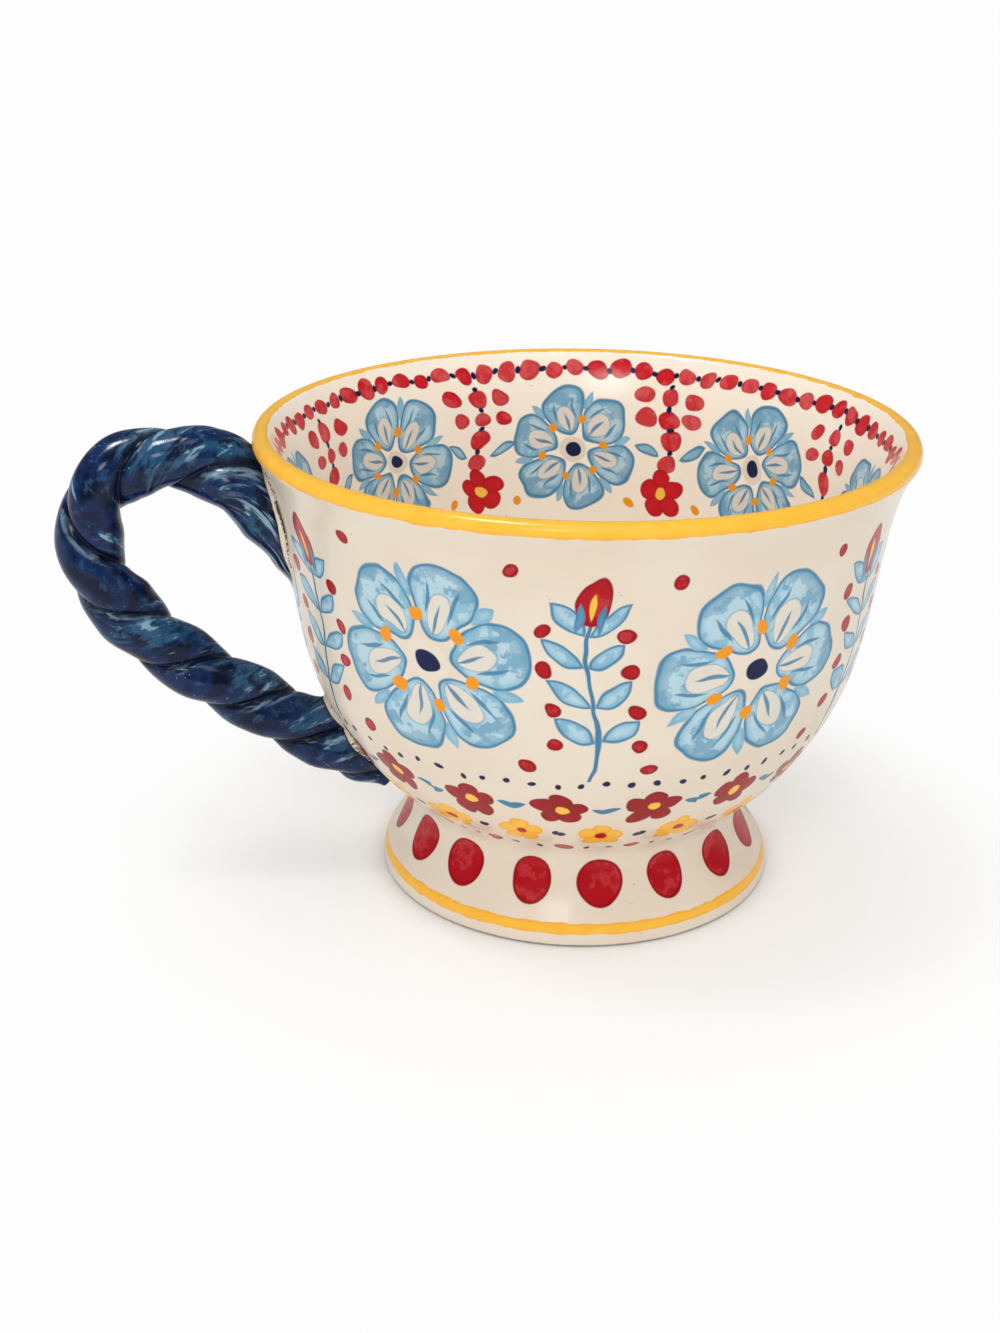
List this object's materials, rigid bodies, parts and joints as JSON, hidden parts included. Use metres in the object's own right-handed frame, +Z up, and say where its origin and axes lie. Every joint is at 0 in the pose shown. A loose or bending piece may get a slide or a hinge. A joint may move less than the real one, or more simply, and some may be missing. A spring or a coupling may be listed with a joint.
{
  "type": "footed teacup",
  "caption": "Footed cup with a flared round bowl, a trumpet foot with a hollow underside and a loop handle of twisted strands.",
  "frame": {"origin": "middle of the foot's base, on the surface that the cup stands on", "axes": "+Z up along the bowl's axis, -X towards the handle, which lies in the XZ plane"},
  "size_m": [0.1553, 0.12, 0.0882],
  "materials": {
    "glazed_pottery": "gloss glaze over a hand-painted body"
  },
  "bodies": {
    "root": {"teacup": "glazed_pottery"}
  },
  "joints": []
}
